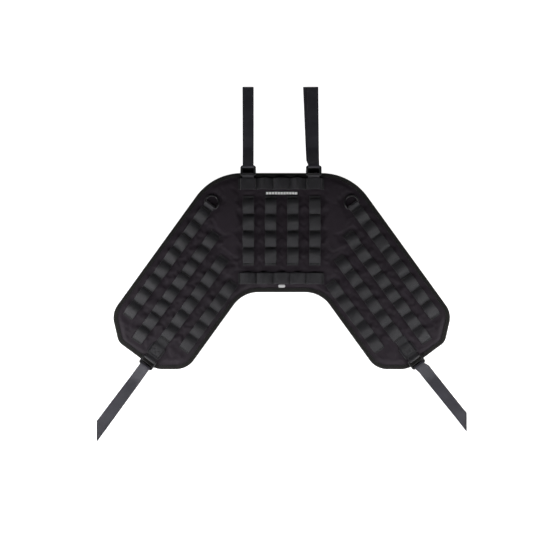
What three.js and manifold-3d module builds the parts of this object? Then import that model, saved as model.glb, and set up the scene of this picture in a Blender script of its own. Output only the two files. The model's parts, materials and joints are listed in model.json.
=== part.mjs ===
// Padded webbing breast panel for a horse, lying face up on a flat surface.
// Millimetres, +Z out of the face, +Y towards the neck straps, +X to the right as seen from the front.
// The origin is on the surface that the panel lies on, under the middle of the whole outline.
import * as THREE from "three";
import { mergeVertices } from "three/addons/utils/BufferGeometryUtils.js";
import Module from "manifold-3d";

const wasm = await Module();
wasm.setup();

// ---------------------------------------------------------------- driving dimensions

const FIT_GAP = 0.3; // clear space left between two pieces that touch

const BINDING_THICKNESS = 0.8;
const BINDING_WIDTH = 9.4;
const LINING_THICKNESS = 1.2;
const FOAM_THICKNESS = 4.0;
const FACE_THICKNESS = 0.8;

// Corners of the right half of the bound edge, from the top edge round to the notch, and their radii.
const HALF_OUTLINE = [
  { x: 158, y: 209, radius: 130 }, // shoulder
  { x: 390.5, y: -112.5, radius: 50 }, // widest point
  { x: 375, y: -179.5, radius: 28 }, // outer end of the wing
  { x: 290.5, y: -242, radius: 50 }, // lower end of the wing
  { x: 217, y: -242, radius: 50 }, // inner end of the wing
  { x: 89, y: -65, radius: 70 }, // mouth of the notch between the wings
];
const DEGREES_PER_STEP = 9; // how finely a rounded corner is divided

const WEBBING_WIDTH = 25.4;
const WEBBING_THICKNESS = 1.4;
const LOOP_PITCH = 38.1; // from one bar tack to the next
const LOOP_CLEARANCE = 3.8; // under the middle of a slack loop
const TACK_LENGTH = 2.4; // flat length at each bar tack
const LOOP_STEPS = 9;

const WING_ANGLE = 53.6; // the wings slope this many degrees below level
const WING_ROW_LOOPS = [8, 8, 6, 5];
const WING_ROW_REACH = 212.6; // from the origin to the outer row, square to the row
const WING_ROW_SPACING = 49.6;
const WING_ROW_START = 1; // along the row direction, where the outer row begins
const WING_ROW_STEP = 33.5; // how much further along each next row begins
const WING_TAIL = 2.5; // flat end of a wing row past its last tack

const COLUMN_SPACING = 50.8;
const COLUMN_TOP = 152.4;
const COLUMN_LOOPS = 4;
const CROSS_ROW_LOOPS = 5;
const CROSS_ROW_LEFT = -96.5;
const TOP_ROW_Y = 183.5;
const BOTTOM_ROW_Y = -33.6;
const CROSS_TAIL = 3.5;

const BAR_RADIUS = 2.3; // round bars of the rectangular rings
const RING_LENGTH = 31.4; // between bar centres
const RING_HEIGHT = 19.4;
const RING_CORNER = 3.0;
const RING_ABOVE_EDGE = 4.4; // from the top of the bound edge to the middle of a resting ring's bars
const UPPER_RING_X = { left: -77, right: 73.5 };
const UPPER_BAR_Y = 204.3;
const UPPER_TAB_END_Y = 174;
const LOWER_BAR_REACH = 57.8; // from the third row's last tack to the near bar of the lower ring
const LOWER_RING_SHIFT = { left: 0, right: 2.5 }; // outwards from the middle of the third row

const GUARD_THICKNESS = 0.9; // flap under each strap ring
const GUARD_WIDTH = 34;
const GUARD_TUCK = 26; // how far it reaches back under the panel from the ring's near bar
const GUARD_CORNER = 6;

const D_WIRE_RADIUS = 2.0;
const D_HALF_WIDTH = 15.5;
const D_SIDE = 7.0; // straight side between the bar and the round end
const D_CORNER = 2.5;
const D_BAR_REACH = 12.5; // from the outer row's first tack back to the bar

const STRAP_END_Y = 407.1; // top ends of the neck straps
const STRAP_END_X = 425.5; // outer ends of the side straps, cut square to X
const STRAP_DROP_LENGTH = 46; // the straps slope from the ring to the surface over this length
const STRAP_CLOSE_LENGTH = 16; // the two layers close up over this length
// How far each layer wanders sideways by its free end.
const UPPER_STRAP_LEAN = { left: { front: 0, rear: -0.6 }, right: { front: -4, rear: -10.5 } };
const LOWER_STRAP_LEAN = { left: { front: 2.6, rear: 0.2 }, right: { front: 9, rear: 8 } };

const PLATE_START = 20; // from the third row's last tack
const PLATE_LENGTH = 31;
const PLATE_WIDTH = 34;
const PLATE_BASE = 1.4;
const PLATE_RAIL_HEIGHT = 3.0;
const PLATE_CHANNEL = 28.4;
const PLATE_CORNER = 6;

const LABEL = { width: 76, height: 9, y: 162.5, thickness: 0.5, corner: 1 };
const TAG = { width: 16, height: 7.4, y: -50.8, thickness: 0.5, corner: 3.6 };

// ---------------------------------------------------------------- heights worked out from them

const BINDING_BOTTOM = GUARD_THICKNESS + FIT_GAP;
const LINING_BOTTOM = BINDING_BOTTOM + BINDING_THICKNESS + FIT_GAP;
const FOAM_BOTTOM = LINING_BOTTOM + LINING_THICKNESS + FIT_GAP;
const FACE_BOTTOM = FOAM_BOTTOM + FOAM_THICKNESS + FIT_GAP;
const FACE_TOP = FACE_BOTTOM + FACE_THICKNESS;
const BINDING_TOP = FACE_TOP + FIT_GAP + BINDING_THICKNESS;
const BAR_LIFT = BINDING_TOP + RING_ABOVE_EDGE;

const SEWN_LEVEL = FACE_TOP + FIT_GAP + WEBBING_THICKNESS / 2; // middle of webbing sewn flat on the face
const LOOP_LEVEL = FACE_TOP + LOOP_CLEARANCE + WEBBING_THICKNESS / 2;
const UPPER_LAYER_LEVEL = SEWN_LEVEL + WEBBING_THICKNESS + 0.4; // a second layer on top of the first
const COVER_LEVEL = UPPER_LAYER_LEVEL + WEBBING_THICKNESS + 0.5; // a loop that covers a doubled tab
const PLATE_TOP = FACE_TOP + FIT_GAP + PLATE_BASE;
const PLATE_LAYER_1 = PLATE_TOP + FIT_GAP + WEBBING_THICKNESS / 2;
const PLATE_LAYER_2 = PLATE_LAYER_1 + WEBBING_THICKNESS + 0.35;

const WRAP_RADIUS = BAR_RADIUS + FIT_GAP + WEBBING_THICKNESS / 2;
const D_WRAP_RADIUS = D_WIRE_RADIUS + FIT_GAP + WEBBING_THICKNESS / 2;
const D_LIFT = SEWN_LEVEL + D_WRAP_RADIUS;

// ---------------------------------------------------------------- materials

const MATERIALS = {
  face: new THREE.MeshStandardMaterial({ color: 0x2a252b, roughness: 0.85, metalness: 0 }),
  lining: new THREE.MeshStandardMaterial({ color: 0x1d1c1f, roughness: 0.95, metalness: 0 }),
  foam: new THREE.MeshStandardMaterial({ color: 0x3a3a3c, roughness: 1, metalness: 0 }),
  binding: new THREE.MeshStandardMaterial({ color: 0x1c1b1a, roughness: 0.8, metalness: 0 }),
  webbing: new THREE.MeshStandardMaterial({ color: 0x343437, roughness: 0.7, metalness: 0 }),
  strap: new THREE.MeshStandardMaterial({ color: 0x3c3b40, roughness: 0.65, metalness: 0 }),
  plastic: new THREE.MeshStandardMaterial({ color: 0x1a1a1c, roughness: 0.4, metalness: 0 }),
  label: new THREE.MeshStandardMaterial({ color: 0xe8e8e6, roughness: 0.7, metalness: 0 }),
};

// ---------------------------------------------------------------- mesh helpers

const part = new THREE.Group();

function addMesh(name, geometry, material) {
  const mesh = new THREE.Mesh(geometry, material);
  mesh.name = name;
  part.add(mesh);
}

function indexedGeometry(points, triangles) {
  const geometry = new THREE.BufferGeometry().setFromPoints(points);
  geometry.setIndex(triangles.flat());
  geometry.computeVertexNormals();
  return geometry;
}

// Joins neighbouring rings of points, each ring seen anticlockwise from the next.
function skin(rings, closed) {
  const size = rings[0].length;
  const triangles = [];
  const last = closed ? rings.length : rings.length - 1;
  for (let i = 0; i < last; i++) {
    const a = i * size;
    const b = ((i + 1) % rings.length) * size;
    for (let j = 0; j < size; j++) {
      const k = (j + 1) % size;
      triangles.push([a + j, a + k, b + k], [a + j, b + k, b + j]);
    }
  }
  return triangles;
}

// A solid through a row of rings whose two end rings are flat and level.
function stackedSolid(rings) {
  const size = rings[0].length;
  const triangles = skin(rings, false);
  const lid = (ring) => THREE.ShapeUtils.triangulateShape(ring.map((p) => new THREE.Vector2(p.x, p.y)), []);
  const top = (rings.length - 1) * size;
  for (const [a, b, c] of lid(rings[0])) triangles.push([a, c, b]);
  for (const [a, b, c] of lid(rings.at(-1))) triangles.push([top + a, top + b, top + c]);
  return indexedGeometry(rings.flat(), triangles);
}

function closedLoopSolid(rings) {
  return indexedGeometry(rings.flat(), skin(rings, true));
}

function toManifold(geometry) {
  const bare = new THREE.BufferGeometry();
  bare.setAttribute("position", geometry.getAttribute("position"));
  bare.setIndex(geometry.getIndex());
  const merged = mergeVertices(bare);
  const mesh = new wasm.Mesh({
    numProp: 3,
    vertProperties: merged.getAttribute("position").array,
    triVerts: new Uint32Array(merged.getIndex().array),
  });
  return new wasm.Manifold(mesh);
}

function fromManifold(solid) {
  const mesh = solid.getMesh();
  const geometry = new THREE.BufferGeometry();
  geometry.setAttribute("position", new THREE.BufferAttribute(mesh.vertProperties, 3));
  geometry.setIndex(Array.from(mesh.triVerts));
  geometry.computeVertexNormals();
  return geometry;
}

function roundedRectangle(width, height, radius) {
  const x = width / 2;
  const y = height / 2;
  const shape = new THREE.Shape();
  shape.moveTo(-x + radius, -y);
  shape.lineTo(x - radius, -y);
  shape.absarc(x - radius, -y + radius, radius, -Math.PI / 2, 0);
  shape.lineTo(x, y - radius);
  shape.absarc(x - radius, y - radius, radius, 0, Math.PI / 2);
  shape.lineTo(-x + radius, y);
  shape.absarc(-x + radius, y - radius, radius, Math.PI / 2, Math.PI);
  shape.lineTo(-x, -y + radius);
  shape.absarc(-x + radius, -y + radius, radius, Math.PI, Math.PI * 1.5);
  return shape;
}

// ---------------------------------------------------------------- the panel

// Rounds the outline's corners and returns its points, moved inwards by inset, at height z.
function outline(inset, z) {
  const right = HALF_OUTLINE.map((c) => new THREE.Vector2(c.x, c.y));
  const left = HALF_OUTLINE.map((c) => new THREE.Vector2(-c.x, c.y)).reverse();
  const corners = [...right, ...left].reverse();
  const radii = HALF_OUTLINE.map((c) => c.radius);
  const cornerRadii = [...radii, ...[...radii].reverse()].reverse();
  const points = [];
  corners.forEach((corner, i) => {
    const before = corners.at(i - 1).clone().sub(corner).normalize();
    const after = corners[(i + 1) % corners.length].clone().sub(corner).normalize();
    const half = Math.acos(before.dot(after)) / 2;
    const turn = before.cross(after) < 0 ? 1 : -1; // 1 where the outline bulges out, -1 in the notch
    const radius = cornerRadii[i];
    const middle = before.clone().add(after).normalize();
    const centre = corner.clone().addScaledVector(middle, radius / Math.sin(half));
    const sweep = Math.PI - 2 * half;
    const towardsCorner = Math.atan2(-middle.y, -middle.x);
    const steps = Math.max(3, Math.round(THREE.MathUtils.radToDeg(sweep) / DEGREES_PER_STEP));
    for (let k = 0; k <= steps; k++) {
      const angle = towardsCorner + turn * sweep * (k / steps - 0.5);
      const reach = radius - turn * inset;
      points.push(new THREE.Vector3(centre.x + reach * Math.cos(angle), centre.y + reach * Math.sin(angle), z));
    }
  });
  return points;
}

function buildPanel() {
  const inside = BINDING_THICKNESS + FIT_GAP;
  const layers = [
    ["back_lining", LINING_BOTTOM, LINING_THICKNESS, MATERIALS.lining],
    ["foam_core", FOAM_BOTTOM, FOAM_THICKNESS, MATERIALS.foam],
    ["face_fabric", FACE_BOTTOM, FACE_THICKNESS, MATERIALS.face],
  ];
  for (const [name, bottom, thickness, material] of layers) {
    addMesh(name, stackedSolid([outline(inside, bottom), outline(inside, bottom + thickness)]), material);
  }
}

// The tape folds round the edge of the three layers, with a flange on the back and one on the face.
function buildBinding() {
  const bevel = BINDING_THICKNESS;
  const profile = [
    [BINDING_WIDTH, BINDING_BOTTOM],
    [bevel, BINDING_BOTTOM],
    [0, BINDING_BOTTOM + bevel],
    [0, BINDING_TOP - bevel],
    [bevel, BINDING_TOP],
    [BINDING_WIDTH, BINDING_TOP],
    [BINDING_WIDTH, BINDING_TOP - BINDING_THICKNESS],
    [BINDING_THICKNESS, BINDING_TOP - BINDING_THICKNESS],
    [BINDING_THICKNESS, BINDING_BOTTOM + BINDING_THICKNESS],
    [BINDING_WIDTH, BINDING_BOTTOM + BINDING_THICKNESS],
  ];
  addMesh("edge_binding", closedLoopSolid(profile.map(([inset, z]) => outline(inset, z))), MATERIALS.binding);
}

// ---------------------------------------------------------------- webbing

// A straight line on the face: at(s, z, sideways) is a point s along it, across is half a webbing width.
function track(x, y, headingDegrees) {
  const heading = THREE.MathUtils.degToRad(headingDegrees);
  const forward = new THREE.Vector3(Math.cos(heading), Math.sin(heading), 0);
  const leftward = new THREE.Vector3(-forward.y, forward.x, 0);
  const at = (s, z, sideways = 0) =>
    new THREE.Vector3(x, y, z).addScaledVector(forward, s).addScaledVector(leftward, sideways);
  return { at, forward, leftward, across: leftward.clone().multiplyScalar(WEBBING_WIDTH / 2) };
}

// A strip of webbing through stations, each with its middle and its half width as a vector.
function ribbon(stations) {
  const rings = stations.map((station, i) => {
    const before = stations[Math.max(i - 1, 0)].middle;
    const after = stations[Math.min(i + 1, stations.length - 1)].middle;
    const along = after.clone().sub(before);
    const normal = along.cross(station.across).setLength(WEBBING_THICKNESS / 2);
    const corner = (side, face) =>
      station.middle.clone().addScaledVector(station.across, side).addScaledVector(normal, face);
    return [corner(1, 1), corner(-1, 1), corner(-1, -1), corner(1, -1)];
  });
  const triangles = skin(rings, false);
  const end = (rings.length - 1) * 4;
  triangles.push([0, 2, 1], [0, 3, 2], [end, end + 1, end + 2], [end, end + 2, end + 3]);
  return indexedGeometry(rings.flat(), triangles);
}

function stationsOn(line, profile, sideways = 0) {
  return profile.map(([s, z]) => ({ middle: line.at(s, z, sideways), across: line.across }));
}

// Side view of one slack loop, from the middle of one tack to the middle of the next.
function slackLoop(start) {
  const rise = LOOP_PITCH - TACK_LENGTH;
  const profile = [[start + TACK_LENGTH / 2, SEWN_LEVEL]];
  for (let k = 1; k < LOOP_STEPS; k++) {
    const share = k / LOOP_STEPS;
    const height = (LOOP_LEVEL - SEWN_LEVEL) * Math.sin(Math.PI * share) ** 0.8;
    profile.push([start + TACK_LENGTH / 2 + rise * share, SEWN_LEVEL + height]);
  }
  profile.push([start + LOOP_PITCH - TACK_LENGTH / 2, SEWN_LEVEL]);
  return profile;
}

// Side view of a loop held up by the doubled tab that passes under it.
function coveringLoop(start) {
  const foot = 1.2;
  const shoulder = 5;
  return [
    [start + foot, SEWN_LEVEL],
    [start + shoulder, COVER_LEVEL],
    [start + LOOP_PITCH - shoulder, COVER_LEVEL],
    [start + LOOP_PITCH - foot, SEWN_LEVEL],
  ];
}

function webbingRow(name, line, loops, tail, covers = []) {
  const profile = [[-tail, SEWN_LEVEL]];
  for (let i = 0; i < loops; i++) {
    const shape = covers.includes(i) ? coveringLoop : slackLoop;
    profile.push(...shape(i * LOOP_PITCH));
  }
  profile.push([loops * LOOP_PITCH + tail, SEWN_LEVEL]);
  addMesh(name, ribbon(stationsOn(line, profile)), MATERIALS.webbing);
}

// Side view of webbing turning round a bar, from under it to over it, the turn being on the +s side.
function wrap(barS, barZ, radius) {
  const steps = 8;
  return Array.from({ length: steps + 1 }, (_, k) => {
    const angle = -Math.PI / 2 + (Math.PI * k) / steps;
    return [barS + radius * Math.cos(angle), barZ + radius * Math.sin(angle)];
  });
}

function buildCentreWebbing() {
  const topRow = track(CROSS_ROW_LEFT, TOP_ROW_Y, 0);
  const bottomRow = track(CROSS_ROW_LEFT, BOTTOM_ROW_Y, 0);
  webbingRow("top_row_webbing", topRow, CROSS_ROW_LOOPS, CROSS_TAIL, [0, CROSS_ROW_LOOPS - 1]);
  webbingRow("bottom_row_webbing", bottomRow, CROSS_ROW_LOOPS, CROSS_TAIL);
  for (let i = 0; i < 4; i++) {
    const x = (i - 1.5) * COLUMN_SPACING;
    webbingRow(`centre_column_${i + 1}`, track(x, COLUMN_TOP, -90), COLUMN_LOOPS, CROSS_TAIL);
  }
}

// ---------------------------------------------------------------- the two sides

const SIDES = [
  { name: "left", sign: -1 },
  { name: "right", sign: 1 },
];

// The middle line of a wing's row, with s = 0 at the row's first tack.
function wingRowTrack(side, row) {
  const angle = THREE.MathUtils.degToRad(WING_ANGLE);
  const reach = WING_ROW_REACH - row * WING_ROW_SPACING;
  const start = WING_ROW_START + row * WING_ROW_STEP;
  const x = start * Math.cos(angle) + reach * Math.sin(angle);
  const y = reach * Math.cos(angle) - start * Math.sin(angle);
  return track(side.sign * x, y, side.sign > 0 ? -WING_ANGLE : 180 + WING_ANGLE);
}

function buildWingRows(side) {
  WING_ROW_LOOPS.forEach((loops, row) => {
    webbingRow(`${side.name}_wing_row_${row + 1}`, wingRowTrack(side, row), loops, WING_TAIL);
  });
}

// ---------------------------------------------------------------- rings

// A round bar bent along a flat closed path of [across, along] points.
function bentBar(path, radius, place) {
  const sides = 8;
  const rings = path.map((point, i) => {
    const before = path.at(i - 1);
    const after = path[(i + 1) % path.length];
    const outward = new THREE.Vector2(after[1] - before[1], before[0] - after[0]).normalize();
    return Array.from({ length: sides }, (_, k) => {
      const angle = (-2 * Math.PI * (k + 0.5)) / sides;
      const out = radius * Math.cos(angle);
      return place(point[0] + outward.x * out, point[1] + outward.y * out, radius * Math.sin(angle));
    });
  });
  return closedLoopSolid(rings);
}

function arcPoints(cx, cy, radius, fromDegrees, toDegrees, steps) {
  return Array.from({ length: steps + 1 }, (_, k) => {
    const angle = THREE.MathUtils.degToRad(fromDegrees + ((toDegrees - fromDegrees) * k) / steps);
    return [cx + radius * Math.cos(angle), cy + radius * Math.sin(angle)];
  });
}

// The near bar lies across s = barS; the ring reaches away from it along the track.
function buildRectangularRing(name, line, barS) {
  const x = RING_LENGTH / 2 - RING_CORNER;
  const far = RING_HEIGHT - RING_CORNER;
  const path = [
    ...arcPoints(x, RING_CORNER, RING_CORNER, -90, 0, 4),
    ...arcPoints(x, far, RING_CORNER, 0, 90, 4),
    ...arcPoints(-x, far, RING_CORNER, 90, 180, 4),
    ...arcPoints(-x, RING_CORNER, RING_CORNER, 180, 270, 4),
  ];
  const place = (across, along, up) => line.at(barS + along, BAR_LIFT + up, -across);
  addMesh(name, bentBar(path, BAR_RADIUS, place), MATERIALS.plastic);
}

// The D-ring rests with its round end on the face, so it tips down a little from its bar.
function buildDRing(side) {
  const line = wingRowTrack(side, 0);
  const x = D_HALF_WIDTH - D_CORNER;
  const path = [
    ...arcPoints(x, D_CORNER, D_CORNER, -90, 0, 3),
    ...arcPoints(0, D_SIDE, D_HALF_WIDTH, 0, 180, 14),
    ...arcPoints(-x, D_CORNER, D_CORNER, 180, 270, 3),
  ];
  const depth = D_SIDE + D_HALF_WIDTH;
  const tip = Math.asin((D_LIFT - D_WIRE_RADIUS - FACE_TOP - FIT_GAP) / depth);
  const place = (across, along, up) => {
    const s = along * Math.cos(tip) - up * Math.sin(tip);
    const z = -along * Math.sin(tip) + up * Math.cos(tip);
    return line.at(-D_BAR_REACH - s, D_LIFT + z, across);
  };
  addMesh(`${side.name}_d_ring`, bentBar(path, D_WIRE_RADIUS, place), MATERIALS.plastic);
}

// ---------------------------------------------------------------- tabs that hold the rings

function buildDRingTab(side) {
  const line = wingRowTrack(side, 0);
  const sewnEnd = -WING_TAIL - 0.9;
  const backwards = wrap(D_BAR_REACH, D_LIFT, D_WRAP_RADIUS).map(([s, z]) => [-s, z]);
  const profile = [
    [sewnEnd, SEWN_LEVEL],
    ...backwards,
    [-D_BAR_REACH + 2, D_LIFT + D_WRAP_RADIUS - 0.6],
    [-D_BAR_REACH + 5, UPPER_LAYER_LEVEL + 1.2],
    [-D_BAR_REACH + 7, UPPER_LAYER_LEVEL + 0.1],
    [sewnEnd, UPPER_LAYER_LEVEL],
  ];
  addMesh(`${side.name}_d_ring_tab`, ribbon(stationsOn(line, profile)), MATERIALS.webbing);
}

// The doubled tab is sewn under the top row and reaches over the bound edge to the ring's near bar.
function buildUpperTab(side) {
  const line = track(UPPER_RING_X[side.name], 0, 90);
  const rowEdge = TOP_ROW_Y + WEBBING_WIDTH / 2;
  const bindingEdge = HALF_OUTLINE[0].y - BINDING_WIDTH;
  const profile = [
    [UPPER_TAB_END_Y, SEWN_LEVEL],
    [rowEdge + 0.2, SEWN_LEVEL],
    [bindingEdge - 0.4, BAR_LIFT - WRAP_RADIUS],
    ...wrap(UPPER_BAR_Y, BAR_LIFT, WRAP_RADIUS),
    [UPPER_BAR_Y - 1.2, BAR_LIFT + WRAP_RADIUS - 0.2],
    [UPPER_BAR_Y - 3.2, BAR_LIFT + 1.2],
    [UPPER_BAR_Y - 5.2, UPPER_LAYER_LEVEL + 1.4],
    [rowEdge + 1.2, UPPER_LAYER_LEVEL + 0.5],
    [rowEdge - 0.6, UPPER_LAYER_LEVEL],
    [UPPER_TAB_END_Y, UPPER_LAYER_LEVEL],
  ];
  addMesh(`${side.name}_upper_ring_tab`, ribbon(stationsOn(line, profile)), MATERIALS.webbing);
}

// s = 0 is the last tack of the third row.
function lowerRingTrack(side) {
  const line = wingRowTrack(side, 2);
  const end = line.at(WING_ROW_LOOPS[2] * LOOP_PITCH, 0, side.sign * LOWER_RING_SHIFT[side.name]);
  return track(end.x, end.y, side.sign > 0 ? -WING_ANGLE : 180 + WING_ANGLE);
}

// The tab lies on the moulded plate, turns round the near bar and comes back under itself.
function buildLowerTab(side) {
  const profile = [
    [PLATE_START + 6.5, PLATE_LAYER_1],
    [PLATE_START + PLATE_LENGTH + 1, PLATE_LAYER_1],
    ...wrap(LOWER_BAR_REACH, BAR_LIFT, WRAP_RADIUS),
    [LOWER_BAR_REACH - 1.2, BAR_LIFT + WRAP_RADIUS - 0.2],
    [LOWER_BAR_REACH - 4.3, BAR_LIFT + 1.3],
    [LOWER_BAR_REACH - 7.3, PLATE_LAYER_2 + 0.4],
    [LOWER_BAR_REACH - 10, PLATE_LAYER_2],
    [PLATE_START + 4.5, PLATE_LAYER_2],
    [PLATE_START - 4, SEWN_LEVEL],
    [WING_TAIL + 1, SEWN_LEVEL],
  ];
  const stations = stationsOn(lowerRingTrack(side), profile);
  addMesh(`${side.name}_lower_ring_tab`, ribbon(stations), MATERIALS.webbing);
}

// A moulded plate under the tab, with a raised rail along each side of the webbing.
function buildPlate(side) {
  const line = lowerRingTrack(side);
  const blank = flatPatch(PLATE_LENGTH, PLATE_WIDTH, PLATE_CORNER, PLATE_RAIL_HEIGHT);
  const channel = new THREE.BoxGeometry(PLATE_LENGTH * 2, PLATE_CHANNEL, PLATE_RAIL_HEIGHT * 2);
  channel.translate(0, 0, PLATE_BASE + PLATE_RAIL_HEIGHT);
  const plate = fromManifold(toManifold(blank).subtract(toManifold(channel)));
  plate.rotateZ(Math.atan2(line.forward.y, line.forward.x));
  const middle = line.at(PLATE_START + PLATE_LENGTH / 2, FACE_TOP + FIT_GAP);
  plate.translate(middle.x, middle.y, middle.z);
  addMesh(`${side.name}_wear_plate`, plate, MATERIALS.plastic);
}

// ---------------------------------------------------------------- straps

// Heights of the two layers at t millimetres past the bar that the strap hangs on.
function strapLevels(t) {
  const drop = THREE.MathUtils.smoothstep(t, 0, STRAP_DROP_LENGTH);
  const close = THREE.MathUtils.smoothstep(t, 0, STRAP_CLOSE_LENGTH);
  const layerGap = (WEBBING_THICKNESS + FIT_GAP) / 2;
  const restingMiddle = WEBBING_THICKNESS / 2 + layerGap;
  const middle = THREE.MathUtils.lerp(BAR_LIFT, restingMiddle, drop);
  const spread = THREE.MathUtils.lerp(WRAP_RADIUS, layerGap, close);
  return { front: middle + spread, rear: middle - spread };
}

// The strap doubles through the ring: its front layer comes in, turns round the bar and goes out behind.
function buildStrap(name, line, lean, endOf) {
  const sloping = [40, 34, 28, 22, 16, 12, 8, 4];
  const layer = (which) => {
    const tip = endOf(lean[which]);
    const sidewaysAt = (t) => (lean[which] * t) / tip.t;
    const station = (t, across) => ({ middle: line.at(t, strapLevels(t)[which], sidewaysAt(t)), across });
    return [
      station(tip.t, tip.across),
      ...[tip.t - 30, STRAP_DROP_LENGTH, ...sloping].map((t) => station(t, line.across)),
    ];
  };
  const turn = wrap(0, BAR_LIFT, WRAP_RADIUS).map(([s, z]) => [-s, z]);
  const stations = [
    ...layer("front"),
    ...stationsOn(line, turn.reverse()),
    ...layer("rear").reverse(),
  ];
  addMesh(name, ribbon(stations), MATERIALS.strap);
}

function buildUpperStrap(side) {
  const farBarY = UPPER_BAR_Y + RING_HEIGHT;
  const line = track(UPPER_RING_X[side.name], farBarY, 90);
  const lean = UPPER_STRAP_LEAN[side.name];
  const leftward = { front: -lean.front, rear: -lean.rear };
  const endOf = () => ({ t: STRAP_END_Y - farBarY, across: line.across });
  buildStrap(`${side.name}_upper_strap`, line, leftward, endOf);
}

// The free end is cut along Y, so its cut edge is longer than the webbing is wide.
function buildLowerStrap(side) {
  const near = lowerRingTrack(side);
  const bar = near.at(LOWER_BAR_REACH + RING_HEIGHT, 0);
  const line = track(bar.x, bar.y, side.sign > 0 ? -WING_ANGLE : 180 + WING_ANGLE);
  const lean = LOWER_STRAP_LEAN[side.name];
  const leftward = { front: side.sign * lean.front, rear: side.sign * lean.rear };
  const endOf = (sideways) => {
    const t = (side.sign * STRAP_END_X - bar.x - line.leftward.x * sideways) / line.forward.x;
    const halfCut = WEBBING_WIDTH / 2 / line.leftward.y;
    return { t, across: new THREE.Vector3(0, halfCut, 0) };
  };
  buildStrap(`${side.name}_lower_strap`, line, leftward, endOf);
}

// ---------------------------------------------------------------- flat patches

function flatPatch(width, height, corner, thickness) {
  return new THREE.ExtrudeGeometry(roundedRectangle(width, height, corner), {
    depth: thickness,
    bevelEnabled: false,
    curveSegments: 6,
  });
}

// A flap sewn to the back of the panel, which keeps the ring and the webbing turns off the horse.
function buildGuard(name, line, barS) {
  const length = GUARD_TUCK + RING_HEIGHT;
  const guard = flatPatch(length, GUARD_WIDTH, GUARD_CORNER, GUARD_THICKNESS);
  guard.rotateZ(Math.atan2(line.forward.y, line.forward.x));
  const middle = line.at(barS - GUARD_TUCK + length / 2, 0);
  guard.translate(middle.x, middle.y, middle.z);
  addMesh(name, guard, MATERIALS.webbing);
}

function buildLabel(name, size) {
  const label = flatPatch(size.width, size.height, size.corner, size.thickness);
  label.translate(0, size.y, FACE_TOP + FIT_GAP);
  addMesh(name, label, MATERIALS.label);
}

// ---------------------------------------------------------------- assembly

buildPanel();
buildBinding();
buildCentreWebbing();
for (const side of SIDES) {
  const upperLine = track(UPPER_RING_X[side.name], 0, 90);
  const lowerLine = lowerRingTrack(side);
  buildWingRows(side);
  buildDRingTab(side);
  buildDRing(side);
  buildUpperTab(side);
  buildRectangularRing(`${side.name}_upper_ring`, upperLine, UPPER_BAR_Y);
  buildGuard(`${side.name}_upper_ring_guard`, upperLine, UPPER_BAR_Y);
  buildUpperStrap(side);
  buildPlate(side);
  buildLowerTab(side);
  buildRectangularRing(`${side.name}_lower_ring`, lowerLine, LOWER_BAR_REACH);
  buildGuard(`${side.name}_lower_ring_guard`, lowerLine, LOWER_BAR_REACH);
  buildLowerStrap(side);
}
buildLabel("front_label", LABEL);
buildLabel("size_tag", TAG);

export default part;
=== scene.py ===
"""Looks of the webbing breast panel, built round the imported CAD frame. Metres, +Z out of the face."""
import json
import math
import random

import bmesh
import bpy
import numpy as np
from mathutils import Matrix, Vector, geometry


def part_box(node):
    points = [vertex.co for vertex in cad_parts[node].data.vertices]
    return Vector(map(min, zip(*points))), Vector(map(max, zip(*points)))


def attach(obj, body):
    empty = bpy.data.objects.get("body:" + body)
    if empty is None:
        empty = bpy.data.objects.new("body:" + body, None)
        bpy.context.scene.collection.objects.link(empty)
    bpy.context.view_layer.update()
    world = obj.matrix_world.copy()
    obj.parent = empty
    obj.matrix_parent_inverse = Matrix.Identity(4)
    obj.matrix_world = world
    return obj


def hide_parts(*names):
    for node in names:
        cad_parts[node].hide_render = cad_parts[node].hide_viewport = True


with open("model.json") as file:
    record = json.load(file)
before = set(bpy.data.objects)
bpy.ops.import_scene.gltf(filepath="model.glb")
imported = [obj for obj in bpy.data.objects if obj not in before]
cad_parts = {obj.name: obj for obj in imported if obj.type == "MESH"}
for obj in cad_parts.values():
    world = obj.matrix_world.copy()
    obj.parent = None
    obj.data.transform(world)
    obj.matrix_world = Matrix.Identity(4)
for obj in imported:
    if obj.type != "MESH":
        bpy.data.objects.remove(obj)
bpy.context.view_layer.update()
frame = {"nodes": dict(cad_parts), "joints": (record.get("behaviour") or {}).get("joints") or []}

# ---- driving dimensions

WEBBING_WIDTH = 0.0260  # of the loops, whose selvedges swell a little
STRAP_WIDTH = 0.0254  # pulled straight, so it keeps its woven width and clears the rings
WEBBING_HALF = 0.0007  # half the webbing's thickness
LAYER_GAP = 0.0003  # between pieces that are sewn to each other
WING_ANGLE = 53.6  # the wings slope this many degrees below level

LOOP_PITCH = 0.0381  # from one bar tack to the next
LOOP_HEIGHT = 0.0070  # of a slack loop's middle above its tacks
LOOP_LEAN = 0.0011  # the crests of the two level rows lean this far towards the neck straps
COVER_HEIGHT = 0.0041  # of a loop that lies over a doubled tab
SLACK_STEPS = 22
TACK_LENGTH = 0.0024
TACK_PASSES = 21
TACK_THREAD = 0.00042
TACK_MARGIN = 0.0016  # of webbing that a tack leaves bare, both edges together
RELAXED = {"centre_column_4": (0, 1), "right_wing_row_1": (2,), "bottom_row_webbing": (4,)}  # lie flatter
PINCHED = {"top_row_webbing": (1, 3)}  # have a narrower crest
COVERING = {"top_row_webbing": (0, 4)}  # lie over a tab

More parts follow.
